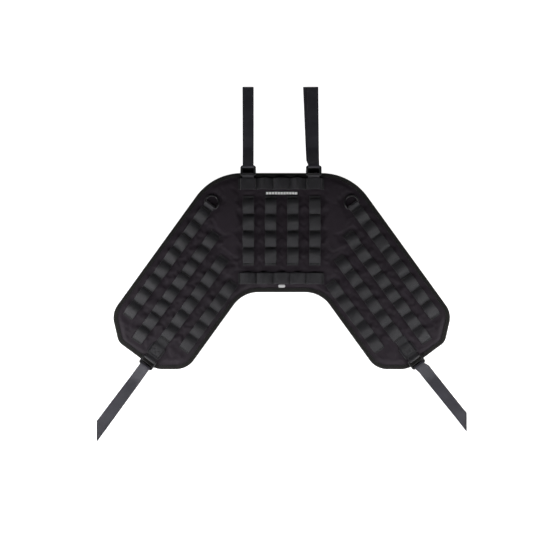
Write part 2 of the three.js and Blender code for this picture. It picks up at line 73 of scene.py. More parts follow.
# Corners of the right half of the bound edge, from the top edge round to the notch, with their radii.
HALF_OUTLINE = (
    (0.158, 0.209, 0.130),
    (0.3905, -0.1125, 0.050),
    (0.375, -0.1795, 0.028),
    (0.2905, -0.242, 0.050),
    (0.217, -0.242, 0.050),
    (0.089, -0.065, 0.070),
)
EDGE_STEP = 0.0035  # along the bound edge, between sections of the tape
EDGE_DIP = 0.0017  # how far the binding presses the padding down
EDGE_DIP_REACH = 0.022  # from the bound edge to where the padding is full height
BINDING_WIDTH = 0.0094
BINDING_HALF = 0.0004
RIM_INSET = 0.0046  # the sheets end inside the fold of the tape
TAPE_GAP = 0.0005  # between the face fabric and the flange over it
FOLD_REACH = 0.0033  # how far in from the bound edge the round of the fold goes
FLANGE_START = 0.0042  # where the tape has turned flat
SEAM_INSET = 0.0071
SEAM_PULL = 0.0006  # the tape dips this far to each side of its seam
SEAM_SINK = 0.0002  # how deep that dip is
PUCKER_HEIGHT = 0.00022
PUCKER_DRIFT = 0.00035

FACE_GRID = 0.0042
FACE_THICKNESS = 0.0008
FACE_SLACK = 0.020  # how much longer the face fabric is than the foam under it
FACE_RISE = 0.0018
FACE_FALL = 0.0007
TACK_DIMPLE = 0.0002
# Distances over which the face fabric comes free: from the bound edge, from hardware and from a tack.
BINDING_EASE = (0.0120, 0.0180)
HARDWARE_EASE = (0.001, 0.009)
TACK_EASE = (0.0075, 0.0125)
FOAM_GRID = 0.008
FOAM_INSET = RIM_INSET + 0.0004
QUILT_DENT = 0.0005  # how far the tacks pull the lining in
LINING_BELLY = 0.0004  # how far the lining bulges inside its edge
FOAM_GAP = 0.0002  # between the foam and the lowest that the fabric comes
FACE_CLOTH = {
    "quality": 6,
    "mass": 0.25,
    "tension_stiffness": 12,
    "compression_stiffness": 12,
    "shear_stiffness": 4,
    "bending_stiffness": 0.12,
    "air_damping": 2,
    "pin_stiffness": 2,
    "shrink_min": -FACE_SLACK,
}
SETTLING_FRAMES = 20

BAR_RADIUS = 0.0023
BAR_CLEARANCE = 0.0003  # between a bar and the webbing round it
RING_LENGTH = 0.0314  # between bar centres
RING_HEIGHT = 0.0194
WRAP_RADIUS = BAR_RADIUS + BAR_CLEARANCE + WEBBING_HALF
RING_CORNERS = (0.0026, 0.0028)  # beside the tab, and beside the strap
D_WIRE_RADIUS = 0.0020
D_CORNER = 0.0025
D_HALF_WIDTH = 0.0155
D_SIDE = 0.0070
D_WRAP_RADIUS = D_WIRE_RADIUS + BAR_CLEARANCE + WEBBING_HALF

PLATE_THICKNESS = 0.0014
PLATE_ROUNDING = 0.0007
GUARD_ROUNDING = 0.0002
LABEL_ROUNDING = 0.00012
TAB_RISE = 0.0018  # from the middle of a tab's lower layer to that of its upper one
BOX_DENT = 0.0007  # how far a hard-pulled box stitch sinks into doubled webbing
STRAP_DROP = 0.046  # the straps slope from the ring to the surface over this length
STRAP_CLOSE = 0.016  # the two layers close up over this length
STRAP_CUT = 0.03  # the end turns to the slant of its cut over this length
RIPPLE_HEIGHT = 0.00035
RIPPLE_LENGTH = 0.058
STRAP_SEAMS = (0.006, 0.010)  # back from the free end
# How far outwards the front and rear layers of each strap lie just past the ring, and at the free end.
STRAP_SHIFTS = {
    "left_upper_strap": ((0.0, 0.0), (0.0, 0.0006)),
    "right_upper_strap": ((-0.0003, -0.0020), (-0.0040, -0.0118)),
    "left_lower_strap": ((0.0, 0.0026), (0.0, -0.0014)),
    "right_lower_strap": ((0.0020, 0.0100), (0.0048, 0.0114)),
}

THREAD_LIFT = 0.0001  # of a thread's middle above the webbing that it sews
# Length of a stitch, gap to the next, and radius of the thread.
BOX_STITCH = (0.0024, 0.0005, 0.00048)
STRAP_STITCH = (0.0024, 0.0007, 0.0003)
SEAM_STITCH = (0.0026, 0.0008, 0.00028)
UNDER_STITCH = (0.0026, 0.0008, 0.00025)

FRAME_WIDTH = 1.288  # what the picture takes in, side to side
FRAME_CENTRE = (-0.0039, -0.0368)
CAMERA_HEIGHT = 4.0
SENSOR_WIDTH = 36.0
FLOOR_SIZE = 160  # so that its far edge stays out of low views

SIDES = (("left", -1), ("right", 1))
NODES = frame["nodes"]
JOINTS = {joint["name"]: joint for joint in frame["joints"]}


# ---- reading the frame


def cad_points(node):
    vertices = NODES[node].data.vertices
    points = np.empty(len(vertices) * 3, np.float32)
    vertices.foreach_get("co", points)
    return points.reshape(-1, 3).astype(float)


FACE_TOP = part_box("face_fabric")[1].z
SEWN_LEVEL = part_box("centre_column_1")[0].z + WEBBING_HALF - TACK_DIMPLE  # middle of webbing at a tack


def directions(heading):
    """Unit vectors along a heading and to its left."""
    angle = math.radians(heading)
    forward = np.array([math.cos(angle), math.sin(angle), 0.0])
    return forward, np.array([-forward[1], forward[0], 0.0])


class Line:
    """The straight run of one CAD node along a heading, with s measured from its first end."""

    def __init__(self, node, heading):
        self.forward, self.leftward = directions(heading)
        points = cad_points(node)
        along = points @ self.forward
        across = points @ self.leftward
        self.start = along.min()
        self.length = along.max() - along.min()
        self.middle = (across.min() + across.max()) / 2
        self.half_width = (across.max() - across.min()) / 2

    def at(self, s, across, z):
        """Points s along the line and across to its left, for numbers or arrays."""
        s, across, z = np.broadcast_arrays(s, across, z)
        forward = (self.start + s)[..., None] * self.forward
        leftward = (self.middle + across)[..., None] * self.leftward
        return forward + leftward + z[..., None] * np.array([0.0, 0.0, 1.0])

    def locate(self, points):
        """How far along the line and across it each point lies."""
        along = points[:, :2] @ self.forward[:2] - self.start
        across = points[:, :2] @ self.leftward[:2] - self.middle
        return along, across

    def joint_at(self, name):
        """Where a joint's axis crosses the line: how far along, and its height."""
        position = np.array(JOINTS[name]["pos_m"])
        return position @ self.forward - self.start, position[2]


def wing_heading(sign):
    return -WING_ANGLE if sign > 0 else 180 + WING_ANGLE


def smoothstep(x, low, high):
    t = np.clip((x - low) / (high - low), 0, 1)
    return t * t * (3 - 2 * t)


# ---- mesh building


def new_object(name, vertices, faces, material, uvs=None, sharp=50):
    """A smooth mesh object with its faces turned outwards; the material is a key of MATERIALS."""
    mesh = bpy.data.meshes.new(name)
    mesh.from_pydata([tuple(v) for v in vertices], [], faces)
    if uvs is not None:
        layer = mesh.uv_layers.new(name="Cloth")
        loops = np.empty(len(mesh.loops), np.int32)
        mesh.loops.foreach_get("vertex_index", loops)
        layer.data.foreach_set("uv", np.asarray(uvs, np.float32)[loops].ravel())
    tidy = bmesh.new()
    tidy.from_mesh(mesh)
    bmesh.ops.recalc_face_normals(tidy, faces=tidy.faces)
    tidy.to_mesh(mesh)
    tidy.free()
    mesh.shade_smooth()
    mesh.set_sharp_from_angle(angle=math.radians(sharp))
    mesh.materials.append(MATERIALS[material])
    piece = bpy.data.objects.new(name, mesh)
    bpy.context.scene.collection.objects.link(piece)
    return piece


def stand_for(piece, node, body="panel"):
    """The piece takes the place of a CAD node and moves with a body."""
    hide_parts(node)
    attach(piece, body)


def selvedge(count):
    """Places across a strip, crowded at its two edges, and how thick it is there."""
    inner = np.linspace(-0.9, 0.9, count - 6)
    places = np.concatenate([[-1.0, -0.985, -0.955], inner, [0.955, 0.985, 1.0]])
    thickness = np.ones(count)
    thickness[[0, -1]] = 0.45
    thickness[[1, -2]] = 0.8
    return places, thickness


def strip_normals(middle, closed):
    if closed:
        along = np.roll(middle, -1, axis=0) - np.roll(middle, 1, axis=0)
    else:
        along = np.gradient(middle, axis=0)
    normal = np.cross(along, np.gradient(middle, axis=1))
    return normal / np.linalg.norm(normal, axis=2, keepdims=True)


def cloth_strip(name, middle, half, material, closed=False):
    """A closed strip of cloth over a grid of middle points, along by across, with a half thickness."""
    count, width, _ = middle.shape
    offset = strip_normals(middle, closed) * np.broadcast_to(half, (count, width))[..., None]
    vertices = np.concatenate([(middle + offset).reshape(-1, 3), (middle - offset).reshape(-1, 3)])
    under = count * width
    faces = []
    for i in range(count if closed else count - 1):
        a, b = i * width, (i + 1) % count * width
        for j in range(width - 1):
            faces.append((a + j, b + j, b + j + 1, a + j + 1))
            faces.append((under + a + j, under + a + j + 1, under + b + j + 1, under + b + j))
        for j in (0, width - 1):
            faces.append((a + j, b + j, under + b + j, under + a + j))
    if not closed:
        for a in (0, (count - 1) * width):
            for j in range(width - 1):
                faces.append((a + j, a + j + 1, under + a + j + 1, under + a + j))
    u = reach_along(middle[:, width // 2])
    v = reach_along(middle[count // 2])
    grid = np.stack(np.meshgrid(u, v, indexing="ij"), axis=2).reshape(-1, 2)
    return new_object(name, vertices, faces, material, np.concatenate([grid, grid]))


def reach_along(path):
    """How far along a path each of its points lies."""
    return np.concatenate([[0], np.cumsum(np.linalg.norm(np.diff(path, axis=0), axis=1))])


def even_loop(path, step):
    """Divides a closed path of flat points evenly."""
    closed = np.concatenate([path, path[:1]])
    reach = reach_along(closed)
    places = np.linspace(0, reach[-1], round(reach[-1] / step), endpoint=False)
    return np.stack([np.interp(places, reach, closed[:, k]) for k in range(2)], axis=1)


def smooth_path(points, step):
    """Cuts the corners off a path of points and divides it evenly, keeping its ends."""
    path = np.array(points, float)
    for _ in range(3):
        near = path[:-1] * 0.75 + path[1:] * 0.25
        far = path[:-1] * 0.25 + path[1:] * 0.75
        cut = np.stack([near, far], axis=1).reshape(-1, path.shape[1])
        path = np.concatenate([path[:1], cut, path[-1:]])
    reach = reach_along(path)
    places = np.linspace(0, reach[-1], max(2, round(reach[-1] / step) + 1))
    return np.stack([np.interp(places, reach, path[:, k]) for k in range(path.shape[1])], axis=1)


def wrap(s, z, radius, steps=10):
    """Side view of webbing turning round a bar, from under it to over it, on the far side."""
    angles = np.linspace(-math.pi / 2, math.pi / 2, steps)
    return [(s + radius * math.cos(a), z + radius * math.sin(a)) for a in angles]


def round_bar(name, path, radius, material):
    """A bar of round section along a closed loop of 3-D points that lies in one plane."""
    sides = 14
    path = np.array(path)
    along = np.roll(path, -1, axis=0) - np.roll(path, 1, axis=0)
    along /= np.linalg.norm(along, axis=1, keepdims=True)
    plane = np.cross(path[len(path) // 4] - path[0], path[len(path) // 2] - path[0])
    plane /= np.linalg.norm(plane)
    outward = np.cross(along, plane)
    angles = np.linspace(0, 2 * math.pi, sides, endpoint=False)
    rings = (
        path[:, None]
        + radius * np.cos(angles)[None, :, None] * outward[:, None]
        + radius * np.sin(angles)[None, :, None] * plane
    )
    count = len(path)
    faces = []
    for i in range(count):
        for j in range(sides):
            a, b = i * sides, (i + 1) % count * sides
            k = (j + 1) % sides
            faces.append((a + j, a + k, b + k, b + j))
    return new_object(name, rings.reshape(-1, 3), faces, material)


def soften(node, ending, width, material):
    """Stands for a CAD node with a copy of its shape that has its hard edges rounded."""
    shape = bmesh.new()
    shape.from_mesh(NODES[node].data)
    bmesh.ops.remove_doubles(shape, verts=shape.verts, dist=1e-6)
    bmesh.ops.dissolve_limit(shape, angle_limit=math.radians(2), verts=shape.verts, edges=shape.edges)
    hard = [e for e in shape.edges if len(e.link_faces) == 2 and e.calc_face_angle() > math.radians(50)]
    bmesh.ops.bevel(shape, geom=hard, offset=width, segments=3, profile=0.5, affect="EDGES")
    bmesh.ops.triangulate(shape, faces=shape.faces)
    bmesh.ops.dissolve_degenerate(shape, dist=1e-5, edges=shape.edges)
    bmesh.ops.triangulate(shape, faces=shape.faces)
    vertices = [v.co.copy() for v in shape.verts]
    faces = [[v.index for v in f.verts] for f in shape.faces]
    shape.free()
    piece = new_object(f"{node}_{ending}", vertices, faces, material, sharp=35)
    stand_for(piece, node)


class Stitches:
    """Collects beads of thread, which become one piece."""

    SIDES = 5
    RINGS = ((0.12, 0.7), (0.5, 1.0), (0.88, 0.7))  # share of the length, share of the radius

    def __init__(self):
        self.vertices = []
        self.faces = []

    def bead(self, start, end, radius):
        start, end = np.asarray(start, float), np.asarray(end, float)
        along = (end - start) / np.linalg.norm(end - start)
        side = np.cross(along, [0.0, 0.0, 1.0])
        side /= np.linalg.norm(side)
        up = np.cross(side, along)
        first = len(self.vertices)
        self.vertices.append(start)
        for share, swell in self.RINGS:
            for k in range(self.SIDES):
                angle = 2 * math.pi * k / self.SIDES
                out = side * math.cos(angle) + up * math.sin(angle)
                self.vertices.append(start + (end - start) * share + out * radius * swell)
        last = len(self.vertices)
        self.vertices.append(end)
        for k in range(self.SIDES):
            n = (k + 1) % self.SIDES
            self.faces.append((first, first + 1 + n, first + 1 + k))
            for ring in range(len(self.RINGS) - 1):
                a = first + 1 + ring * self.SIDES
                b = a + self.SIDES
                self.faces.append((a + k, a + n, b + n, b + k))
            a = last - self.SIDES
            self.faces.append((a + k, a + n, last))

    def run(self, path, stitch, gap, radius):
        """A line of stitches along a path of 3-D points."""
        path = np.array(path, float)
        reach = reach_along(path)
        count = max(1, round(reach[-1] / (stitch + gap)))
        pitch = reach[-1] / count
        for k in range(count):
            ends = (k * pitch + gap / 2, (k + 1) * pitch - gap / 2)
            a, b = [[np.interp(e, reach, path[:, axis]) for axis in range(3)] for e in ends]
            self.bead(a, b, radius)

    def bar_tack(self, line, s, z, rng):
        """A dense zigzag across the webbing."""
        for k in range(TACK_PASSES):
            across = (k / (TACK_PASSES - 1) - 0.5) * (WEBBING_WIDTH - TACK_MARGIN)
            slant = 0.0005 if k % 2 else -0.0005
            reach = TACK_LENGTH / 2 + rng.uniform(-0.0002, 0.0002)
            a = line.at(s - reach, across - slant, z)
            b = line.at(s + reach, across + slant, z)
            self.bead(a, b, TACK_THREAD)

    def box_cross(self, line, s0, s1, half_width, height):
        """A stitched box with a cross in it, on a top layer at one height."""
        corners = [(s0, -half_width), (s1, -half_width), (s1, half_width), (s0, half_width)]
        runs = list(zip(corners, corners[1:] + corners[:1]))
        runs += [(corners[0], corners[2]), (corners[1], corners[3])]
        steps = np.linspace(0, 1, 12)
        for (sa, ta), (sb, tb) in runs:
            path = line.at(sa + (sb - sa) * steps, ta + (tb - ta) * steps, height)
            self.run(path, *BOX_STITCH)

    def sew_on(self, name, body="panel"):
        """Makes one piece of the beads, which moves with a body."""
        piece = new_object(name, self.vertices, self.faces, "thread", sharp=80)
        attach(piece, body)


# ---- materials


class Graph:
    """A material's node tree round one Principled shader."""

    def __init__(self, name, colour, roughness, sheen=0.0, specular=0.5):
        self.colour = colour
        self.material = bpy.data.materials.new(name)
        self.material.use_nodes = True
        self.material.diffuse_color = (*colour, 1)
        self.tree = self.material.node_tree
        self.tree.nodes.clear()
        self.shader = self.tree.nodes.new("ShaderNodeBsdfPrincipled")
        output = self.tree.nodes.new("ShaderNodeOutputMaterial")
        self.tree.links.new(self.shader.outputs["BSDF"], output.inputs["Surface"])
        self.set(self.shader, {
            "Base Color": (*colour, 1),
            "Roughness": roughness,
            "Specular IOR Level": specular,
            "Sheen Weight": sheen,
            "Sheen Roughness": 0.4,
        })

    def set(self, made, inputs):
        for key, value in inputs.items():
            if isinstance(value, bpy.types.NodeSocket):
                self.tree.links.new(value, made.inputs[key])
            else:
                made.inputs[key].default_value = value

    def add(self, kind, inputs, **settings):
        made = self.tree.nodes.new("ShaderNode" + kind)
        for key, value in settings.items():
            setattr(made, key, value)
        self.set(made, inputs)
        return made

    def object_place(self, scale=(1, 1, 1), turn=0.0):
        place = self.add("TexCoord", {}).outputs["Object"]
        turned = {"Vector": place, "Scale": scale, "Rotation": (0, 0, turn)}
        return self.add("Mapping", turned).outputs["Vector"]

    def cloth_place(self):
        return self.add("UVMap", {}, uv_map="Cloth").outputs["UV"]

    def noise(self, scale, detail=2.0, roughness=0.5, stretch=(1, 1, 1)):
        place = self.object_place(stretch)
        inputs = {"Vector": place, "Scale": scale, "Detail": detail, "Roughness": roughness}
        return self.add("TexNoise", inputs).outputs["Fac"]

    def ribs(self, place, period, wobble=0.0):
        """Even ribs, 0 in the grooves and 1 on the crests, one every period metres."""
        inputs = {"Vector": place, "Scale": math.pi / (10 * period), "Distortion": wobble}
        return self.add("TexWave", inputs).outputs["Fac"]

    def yarns(self, place, length, width, gap):
        """Staggered yarn floats, 1 on each float and 0 in the gaps between them."""
        inputs = {
            "Vector": place,
            "Scale": 1.0,
            "Mortar Size": gap,
            "Mortar Smooth": 1.0,
            "Brick Width": length,
            "Row Height": width,
        }
        return self.maths("SUBTRACT", 1.0, self.add("TexBrick", inputs).outputs["Fac"])

    def maths(self, operation, *values):
        return self.add("Math", dict(enumerate(values)), operation=operation).outputs["Value"]

    def times(self, a, b):
        return self.maths("MULTIPLY", a, b)

    def away(self, value, centre):
        """How far a value is from a centre."""
        return self.maths("ABSOLUTE", self.maths("SUBTRACT", value, centre))

    def spread(self, value, low, high, new_low, new_high):
        inputs = {"Value": value, "From Min": low, "From Max": high, "To Min": new_low, "To Max": new_high}
        return self.add("MapRange", inputs).outputs["Result"]

    def patches(self, scale, low, high):
        """Soft uneven patches between two values."""
        return self.spread(self.noise(scale, 3.0), 0.3, 0.7, low, high)

    def tint(self, amount):
        """The material's colour made lighter or darker by a value round 1."""
        scaled = self.add("VectorMath", {0: self.colour, "Scale": amount}, operation="SCALE")
        return scaled.outputs["Vector"]

    def bump(self, height, strength, distance, below=None):
        inputs = {"Height": height, "Strength": strength, "Distance": distance}
        if below is not None:
            inputs["Normal"] = below
        return self.add("Bump", inputs).outputs["Normal"]

    def finish(self, colour, normal, roughness=None):
        self.set(self.shader, {"Base Color": colour, "Normal": normal})
        if roughness is not None:
            self.set(self.shader, {"Roughness": roughness})
        return self.material


def webbing_material(name, colour, rib_period, painted_rib_shade, roughness, sheen):
    """Woven nylon webbing: ribs across it, and short warp floats along it. Its colour carries painted shade
    in the rib grooves and between the floats, and a painted highlight on the rib crests.
    """
    g = Graph(name, colour, roughness, sheen=sheen)
    floats = g.yarns(g.cloth_place(), rib_period * 2, 0.00095, 0.00012)
    ribs = g.ribs(g.cloth_place(), rib_period)
    fuzz = g.noise(900.0)
    # Painted shade: the gaps between floats and the rib grooves are painted darker, and the rib crests
    # lighter.
    woven = g.times(g.patches(28.0, 0.86, 1.12), g.maths("MULTIPLY_ADD", floats, 0.35, 0.72))
    shade = g.times(woven, g.spread(ribs, 0, 1, 1 - painted_rib_shade, 1 + painted_rib_shade))
    rough = g.spread(fuzz, 0.3, 0.7, roughness - 0.08, roughness + 0.08)
    fine = g.bump(floats, 0.6, 0.00022, g.bump(ribs, 0.55, 0.00035))
    return g.finish(g.tint(shade), g.bump(fuzz, 0.25, 0.00015, fine), rough)


def face_material():
    """Coated plain-weave nylon, with a soft purple cast and faint rubbed patches."""
    g = Graph("face_fabric", (0.0208, 0.0134, 0.0212), 0.62, sheen=0.25, specular=0.35)
    warp = g.yarns(g.object_place(), 0.0011, 0.00055, 0.00009)
    weft = g.yarns(g.object_place(turn=math.pi / 2), 0.0011, 0.00055, 0.00009)
    cloudy = g.noise(9.0, 4.0, 0.6)
    rubbed = g.spread(g.noise(60.0, 3.0), 0.25, 0.75, 0.94, 1.06)
    shade = g.times(g.spread(cloudy, 0.3, 0.7, 0.84, 1.16), rubbed)
    creased = g.bump(g.noise(45.0, 4.0, 0.55), 0.35, 0.0012)
    woven = g.bump(g.maths("MAXIMUM", warp, weft), 0.5, 0.0002, creased)
    return g.finish(g.tint(shade), woven, g.spread(cloudy, 0.3, 0.7, 0.54, 0.7))


def binding_material():
    """Folded binding tape with fine ribs across it."""
    g = Graph("edge_binding", (0.0112, 0.0106, 0.0094), 0.7, sheen=0.3, specular=0.3)
    ribs = g.bump(g.ribs(g.cloth_place(), 0.0011), 0.5, 0.00025)
    floats = g.yarns(g.cloth_place(), 0.0011, 0.0007, 0.0001)
    return g.finish(g.tint(g.patches(40.0, 0.85, 1.2)), g.bump(floats, 0.4, 0.00015, ribs))


def lining_material():
    """Spacer mesh: a soft knit with rows of small holes, painted darker inside as painted shade."""
    g = Graph("back_lining", (0.014, 0.0135, 0.015), 0.85, sheen=0.5, specular=0.2)
    cells = g.add("TexVoronoi", {"Vector": g.object_place(), "Scale": 330.0, "Randomness": 0.15})
    holes = g.spread(cells.outputs["Distance"], 0.18, 0.34, 0.0, 1.0)
    # Painted shade: the holes are painted darker than the knit round them.
    shade = g.times(g.spread(holes, 0, 1, 0.35, 1.1), g.patches(20.0, 0.9, 1.1))
    return g.finish(g.tint(shade), g.bump(holes, 0.9, 0.0008))


def foam_material():
    g = Graph("foam_core", (0.04, 0.04, 0.042), 0.95, sheen=0.1, specular=0.2)
    pores = g.noise(1200.0)
    return g.finish(g.tint(g.spread(pores, 0.3, 0.7, 0.8, 1.15)), g.bump(pores, 0.6, 0.0004))


def moulding_material(name, colour, roughness):
    """Black moulded acetal: satin, with a fine grain and rubbed marks."""
    g = Graph(name, colour, roughness, specular=0.55)
    grain = g.noise(2600.0, 1.0)
    rubbed = g.spread(g.noise(140.0, 4.0, 0.7, stretch=(1, 6, 1)), 0.55, 0.75, 0.0, 1.0)
    rough = g.spread(rubbed, 0, 1, roughness - 0.03, roughness + 0.12)
    return g.finish(g.tint(g.spread(rubbed, 0, 1, 1.0, 1.5)), g.bump(grain, 0.15, 0.0001), rough)


def thread_material():
    # Black thread, painted darker than the webbing it sews, so that it also stands for the shade in the
    # dents the stitches pull in (painted shade).
    g = Graph("thread", (0.0055, 0.0055, 0.0060), 0.5, sheen=0.2, specular=0.4)
    twist = g.ribs(g.object_place(turn=0.7), 0.0005, wobble=1.0)
    return g.finish(g.tint(g.spread(twist, 0, 1, 0.7, 1.4)), g.bump(twist, 0.5, 0.0002))


def slot_shade_material():
    # Painted shade: the flap is near black, darker than the webbing, so that the ring slot over it reads as
    # deep shadow.
    g = Graph("ring_guard", (0.009, 0.009, 0.0095), 0.8, sheen=0.1, specular=0.25)
    yarns = g.yarns(g.object_place(), 0.0013, 0.00065, 0.0001)
    return g.finish(g.tint(g.patches(50.0, 0.85, 1.2)), g.bump(yarns, 0.6, 0.0002))


def label_material():
    """A woven label with a plain row of pale dashes."""
    low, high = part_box("front_label")
    dark, pale = (0.016, 0.015, 0.017), (0.98, 0.98, 0.98)
    margin, dashes = 0.0015, 11
    g = Graph("front_label", dark, 0.75, sheen=0.1, specular=0.3)
    place = g.add("SeparateXYZ", {"Vector": g.object_place()}).outputs
    from_start = g.maths("SUBTRACT", place["X"], low.x + margin)
    phase = g.maths("FRACT", g.maths("DIVIDE", from_start, (high.x - low.x - 2 * margin) / dashes))
    in_dash = g.spread(g.away(phase, 0.5), 0.42, 0.45, 1.0, 0.0)
    in_row = g.spread(g.away(place["Y"], (low.y + high.y) / 2), 0.0026, 0.0029, 1.0, 0.0)
    in_label = g.maths("LESS_THAN", g.away(place["X"], 0.0), high.x - margin)
    yarns = g.yarns(g.object_place(), 0.0007, 0.00035, 0.00006)
    printed = g.times(g.times(in_dash, in_row), in_label)
    cover = g.times(printed, g.spread(yarns, 0, 1, 0.92, 1.0))
    blend = g.add("Mix", {0: cover, 6: (*dark, 1), 7: (*pale, 1)}, data_type="RGBA")
    return g.finish(blend.outputs[2], g.bump(yarns, 0.5, 0.00015))


def tag_material():
    """A plain pale woven tag with a slightly darker sewn rim."""
    low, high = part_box("size_tag")
    half = (high.y - low.y) / 2
    g = Graph("size_tag", (0.88, 0.88, 0.89), 0.75, sheen=0.1, specular=0.3)
    yarns = g.yarns(g.object_place(), 0.0007, 0.00035, 0.00006)
    place = g.add("SeparateXYZ", {"Vector": g.object_place()}).outputs
    rim = g.spread(g.away(place["Y"], (low.y + high.y) / 2), half - 0.0011, half - 0.0006, 1.0, 0.55)
    shade = g.times(rim, g.spread(yarns, 0, 1, 0.85, 1.0))
    return g.finish(g.tint(shade), g.bump(yarns, 0.5, 0.00015))


MATERIALS = {
    "webbing": webbing_material("webbing", (0.0198, 0.0188, 0.0232), 0.0014, 0.08, 0.5, 0.3),
    "strap": webbing_material("strap", (0.0298, 0.0284, 0.0394), 0.0026, 0.2, 0.48, 0.35),
    "face": face_material(),
    "binding": binding_material(),
    "lining": lining_material(),
    "foam": foam_material(),
    "moulding": moulding_material("moulding", (0.0135, 0.0135, 0.0150), 0.32),
    # The wear plate is the same black acetal as the rings, painted about three times lighter as a painted
    # highlight along its rails.
    "plate": moulding_material("wear_plate", (0.0380, 0.0375, 0.0425), 0.36),
    "thread": thread_material(),
    "guard": slot_shade_material(),
    "label": label_material(),
    "tag": tag_material(),
}


# ---- the outline and the padding's height


def edge_path():
    """Points round the bound edge, anticlockwise and evenly spaced, with their outward directions."""
    right = list(HALF_OUTLINE)
    left = [(-x, y, radius) for x, y, radius in reversed(HALF_OUTLINE)]
    corners = (right + left)[::-1]
    points = []
    for i, (x, y, radius) in enumerate(corners):
        corner = Vector((x, y))
        before = (Vector(corners[i - 1][:2]) - corner).normalized()
        after = (Vector(corners[(i + 1) % len(corners)][:2]) - corner).normalized()
        half = before.angle(after) / 2
        turn = 1 if before.cross(after) < 0 else -1
        middle = (before + after).normalized()
        centre = corner + middle * (radius / math.sin(half))
        towards = math.atan2(-middle.y, -middle.x)
        sweep = math.pi - 2 * half
        for k in range(41):
            angle = towards + turn * sweep * (k / 40 - 0.5)
            points.append((centre.x + radius * math.cos(angle), centre.y + radius * math.sin(angle)))
    even = even_loop(np.array(points), EDGE_STEP)
    along = np.roll(even, -1, axis=0) - np.roll(even, 1, axis=0)
    along /= np.linalg.norm(along, axis=1, keepdims=True)
    return even, np.stack([along[:, 1], -along[:, 0]], axis=1)


EDGE, EDGE_OUTWARD = edge_path()


def from_edge(points):
    """How far each point is inside the bound edge; points outside it give a negative distance."""
    distances = np.empty(len(points))
    for first in range(0, len(points), 2000):
        chunk = points[first:first + 2000, None, :2] - EDGE[None]
        squared = (chunk ** 2).sum(axis=2)
        nearest = squared.argmin(axis=1)
        rows = np.arange(len(nearest))
        side = (chunk[rows, nearest] * EDGE_OUTWARD[nearest]).sum(axis=1)
        distances[first:first + 2000] = np.sqrt(squared[rows, nearest]) * np.where(side > 0, -1, 1)
    return distances


def padding_height(inside):
    """Height of the face fabric's top at a distance inside the bound edge."""
    return FACE_TOP - EDGE_DIP * (1 - smoothstep(inside, 0.004, EDGE_DIP_REACH))


# ---- webbing rows


def row_lines():
    """Every row of loops, with its line along the face."""
    headings = {"top_row_webbing": 0, "bottom_row_webbing": 0}
    headings.update({f"centre_column_{k}": -90 for k in range(1, 5)})
    for side, sign in SIDES:
        headings.update({f"{side}_wing_row_{k}": wing_heading(sign) for k in range(1, 5)})
    return {name: Line(name, heading) for name, heading in headings.items()}


ROWS = row_lines()


def tack_places(line):
    """Where the bar tacks of a row are; what is left over is its two flat tails."""
    loops = int(line.length // LOOP_PITCH)
    tail = (line.length - loops * LOOP_PITCH) / 2
    return tail + LOOP_PITCH * np.arange(loops + 1)


def slack_shape(share, places, rng, relaxed, pinched):
    """Rise of a slack loop over its tacks, its crest a little askew, for shares of its length."""
    if pinched:
        roundness, steepness = 1.6, 3.2
    elif relaxed:
        roundness, steepness = 2.6, 0.7
    else:
        roundness, steepness = rng.uniform(1.85, 2.15), rng.uniform(1.15, 1.3)
    height = LOOP_HEIGHT * (0.6 if relaxed else rng.uniform(0.9, 1.12))
    crest = (0.5 if relaxed else rng.uniform(0.36, 0.5)) + rng.uniform(-0.07, 0.07) * places
    warped = share[:, None] ** (math.log(0.5) / np.log(crest))[None, :]
    arch = (1 - np.abs(2 * warped - 1) ** roundness) ** steepness
    cup = rng.uniform(0.0002, 0.0006) * places[None, :] ** 2 * arch
    return height * arch - cup


def cover_shape(share, places, rng):
    """Rise of a loop held up by the tab under it."""
    edge = rng.uniform(0.050, 0.058)
    rise = smoothstep(share, 0, edge) * smoothstep(1 - share, 0, edge)
    sag = 0.0003 * np.sin(math.pi * share)
    return (COVER_HEIGHT * rise + sag)[:, None] * np.ones(len(places))


def build_row(name, line):
    rng = random.Random(name)
    places, thickness = selvedge(15)
    flat = np.zeros((2, len(places)))
    tacks = tack_places(line)
    half_tack = TACK_LENGTH / 2
    shares = 0.5 - 0.5 * np.cos(math.pi * np.arange(1, SLACK_STEPS) / SLACK_STEPS)
    s, rise, shift = [0.0], [flat[:1]], [0.0]
    for k, start in enumerate(tacks[:-1]):
        if k in COVERING.get(name, ()):
            rise += [flat, cover_shape(shares, places, rng)]
        else:
            relaxed, pinched = k in RELAXED.get(name, ()), k in PINCHED.get(name, ())
            rise += [flat, slack_shape(shares, places, rng, relaxed, pinched)]
        lean = rng.uniform(-0.0004, 0.0004) + (LOOP_LEAN if "_row_webbing" in name else 0.0)
        s += [start - half_tack, start + half_tack]
        s += list(start + half_tack + (LOOP_PITCH - TACK_LENGTH) * shares)
        shift += [0.0, 0.0, *(lean * np.sin(math.pi * shares))]
    s += [tacks[-1] - half_tack, tacks[-1] + half_tack, line.length]
    shift += [0.0, 0.0, 0.0]
    rise = np.concatenate([*rise, flat, flat[:1]])
    pinch = 1 - 0.025 * (1 - np.clip(rise.max(axis=1) / LOOP_HEIGHT, 0, 1))
    across = places[None] * WEBBING_WIDTH / 2 * pinch[:, None] + np.array(shift)[:, None]
    middle = line.at(np.array(s)[:, None], across, SEWN_LEVEL + rise)
    loops = cloth_strip(f"{name}_loops", middle, thickness * WEBBING_HALF, "webbing")
    stand_for(loops, name)
    tacking = Stitches()
    for place in tacks:
        tacking.bar_tack(line, place, SEWN_LEVEL + WEBBING_HALF + THREAD_LIFT, rng)
    tacking.sew_on(f"{name}_tacks")


for row_name, row_line in ROWS.items():
    build_row(row_name, row_line)


# ---- face fabric, foam and lining


